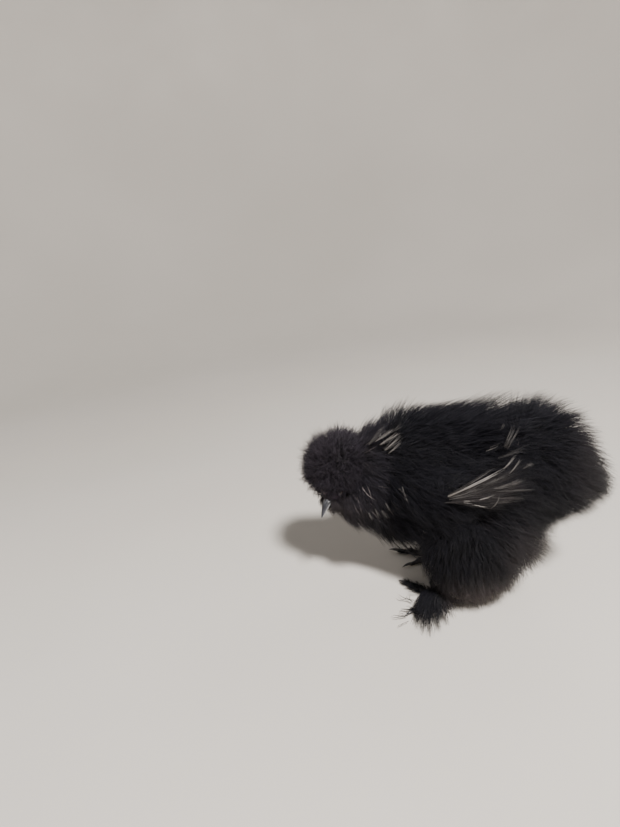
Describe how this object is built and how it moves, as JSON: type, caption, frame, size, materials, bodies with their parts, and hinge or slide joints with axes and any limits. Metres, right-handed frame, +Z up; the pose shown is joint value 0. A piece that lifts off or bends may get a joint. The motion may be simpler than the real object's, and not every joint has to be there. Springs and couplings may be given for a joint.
{
  "type": "silkie chicken",
  "caption": "Life-size still model of a black silkie chicken standing with its head low and turned to its left, with a crest, a rounded fluffy tail and feathered feet.",
  "frame": {"origin": "centre of the bounding box on the floor under the feet", "axes": "+Z up, +X towards the tail, +Y towards the bird's right side"},
  "size_m": [0.3022, 0.1966, 0.2027],
  "materials": {
    "body_feather": "soft silky down, charcoal black with a faint brown cast",
    "crest_feather": "dense soft down, grey black with a purple brown cast",
    "hackle_feather": "long silky hackle, charcoal with paler grey streaks",
    "flight_feather": "frayed flight feathers with pale grey shafts",
    "face_skin": "matt black skin",
    "comb_skin": "dark mulberry skin",
    "ear_lobe": "turquoise blue skin",
    "leg_skin": "slate black scaly skin",
    "beak_horn": "slate horn with a soft sheen",
    "claw_horn": "dark horn",
    "eye": "glossy dark brown eye"
  },
  "bodies": {
    "root": {"beak_lower": "beak_horn", "beak_upper": "beak_horn", "claw_left_fifth": "claw_horn", "claw_left_hind": "claw_horn", "claw_left_inner": "claw_horn", "claw_left_middle": "claw_horn", "claw_left_outer": "claw_horn", "claw_right_fifth": "claw_horn", "claw_right_hind": "claw_horn", "claw_right_inner": "claw_horn", "claw_right_middle": "claw_horn", "claw_right_outer": "claw_horn", "comb": "comb_skin", "crest": "crest_feather", "eye_left": "eye", "eye_right": "eye", "foot_left": "leg_skin", "foot_right": "leg_skin", "head": "face_skin", "lobe_left": "ear_lobe", "lobe_right": "ear_lobe", "neck": "hackle_feather", "shank_left": "leg_skin", "shank_right": "leg_skin", "tail": "body_feather", "thigh_left": "body_feather", "thigh_right": "body_feather", "torso": "body_feather", "wattle_left": "comb_skin", "wattle_right": "comb_skin", "wing_left": "flight_feather", "wing_right": "flight_feather"}
  },
  "joints": []
}
